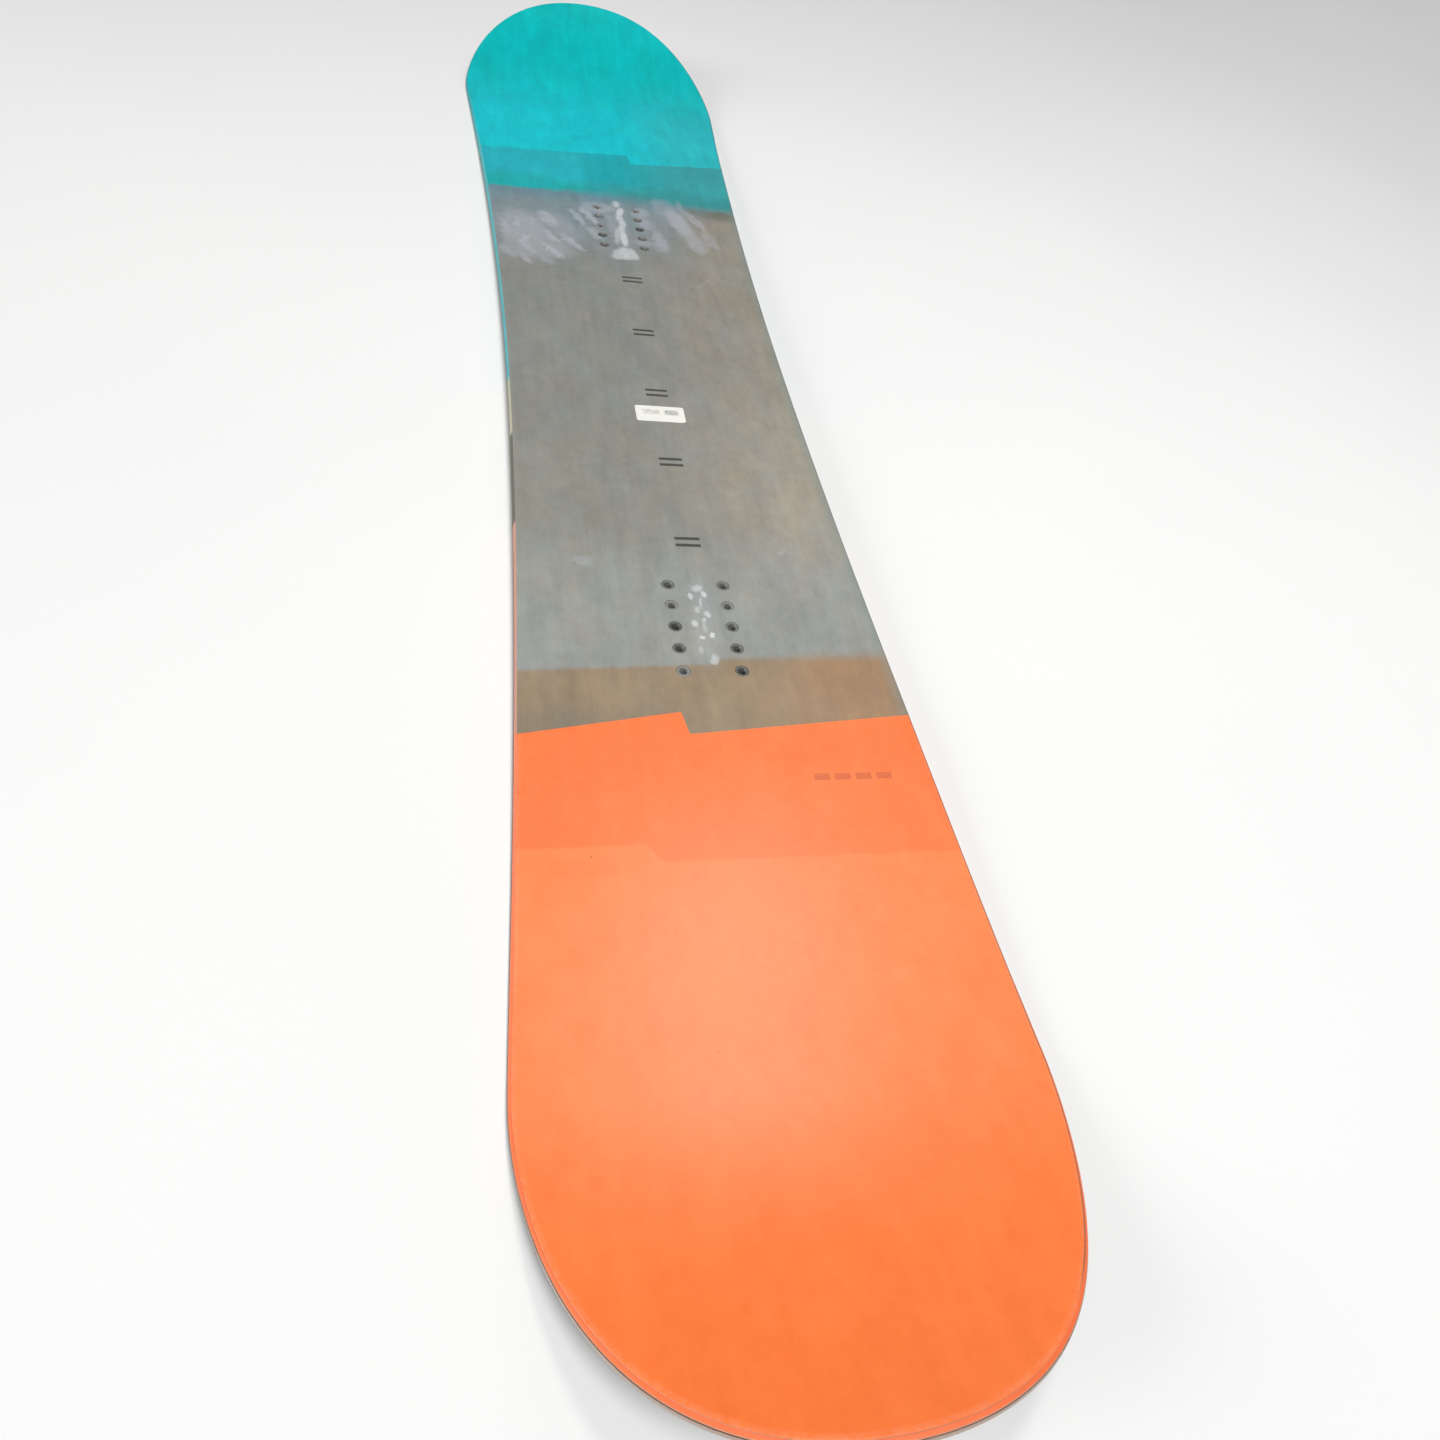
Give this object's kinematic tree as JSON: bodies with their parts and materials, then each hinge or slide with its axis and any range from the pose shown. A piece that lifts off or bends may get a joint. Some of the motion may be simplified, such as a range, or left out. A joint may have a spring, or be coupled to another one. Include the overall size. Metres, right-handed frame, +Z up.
{
  "type": "snowboard",
  "caption": "Directional snowboard with a waisted outline, upturned nose and tail, steel edges, a layered wood core and grids of threaded inserts for bindings.",
  "frame": {"origin": "middle of the board's length and width, on the surface that its contact zones rest on", "axes": "+Y along the board towards the nose, +Z up out of the topsheet, +X to the right of a viewer who looks from the tail to the nose"},
  "size_m": [0.297, 1.52, 0.0579],
  "materials": {
    "topsheet": "satin",
    "base_sheet": "satin",
    "edge_steel": "satin",
    "insert_steel": "satin",
    "edge_rubber": "matte",
    "glass_laminate": "satin",
    "sidewall": "satin",
    "tip_spacer": "matte",
    "core_poplar": "matte",
    "core_beech": "matte",
    "label": "matte"
  },
  "bodies": {
    "root": {"base_sheet": "base_sheet", "core_inner_strip_left": "core_poplar", "core_inner_strip_right": "core_poplar", "core_insert_strip_left": "core_beech", "core_insert_strip_right": "core_beech", "core_middle_strip": "core_poplar", "core_outer_strip_left": "core_poplar", "core_outer_strip_right": "core_poplar", "core_stringer_strip_left": "core_beech", "core_stringer_strip_right": "core_beech", "edge_rubber_left": "edge_rubber", "edge_rubber_right": "edge_rubber", "lower_glass_laminate": "glass_laminate", "nose_insert_left_1": "insert_steel", "nose_insert_left_2": "insert_steel", "nose_insert_left_3": "insert_steel", "nose_insert_left_4": "insert_steel", "nose_insert_left_5": "insert_steel", "nose_insert_right_1": "insert_steel", "nose_insert_right_2": "insert_steel", "nose_insert_right_3": "insert_steel", "nose_insert_right_4": "insert_steel", "nose_insert_right_5": "insert_steel", "nose_spacer": "tip_spacer", "paper_label": "label", "sidewall_left": "sidewall", "sidewall_right": "sidewall", "steel_edge_left": "edge_steel", "steel_edge_right": "edge_steel", "tail_insert_left_1": "insert_steel", "tail_insert_left_2": "insert_steel", "tail_insert_left_3": "insert_steel", "tail_insert_left_4": "insert_steel", "tail_insert_left_5": "insert_steel", "tail_insert_right_1": "insert_steel", "tail_insert_right_2": "insert_steel", "tail_insert_right_3": "insert_steel", "tail_insert_right_4": "insert_steel", "tail_insert_right_5": "insert_steel", "tail_spacer": "tip_spacer", "topsheet": "topsheet", "upper_glass_laminate": "glass_laminate"}
  },
  "joints": []
}
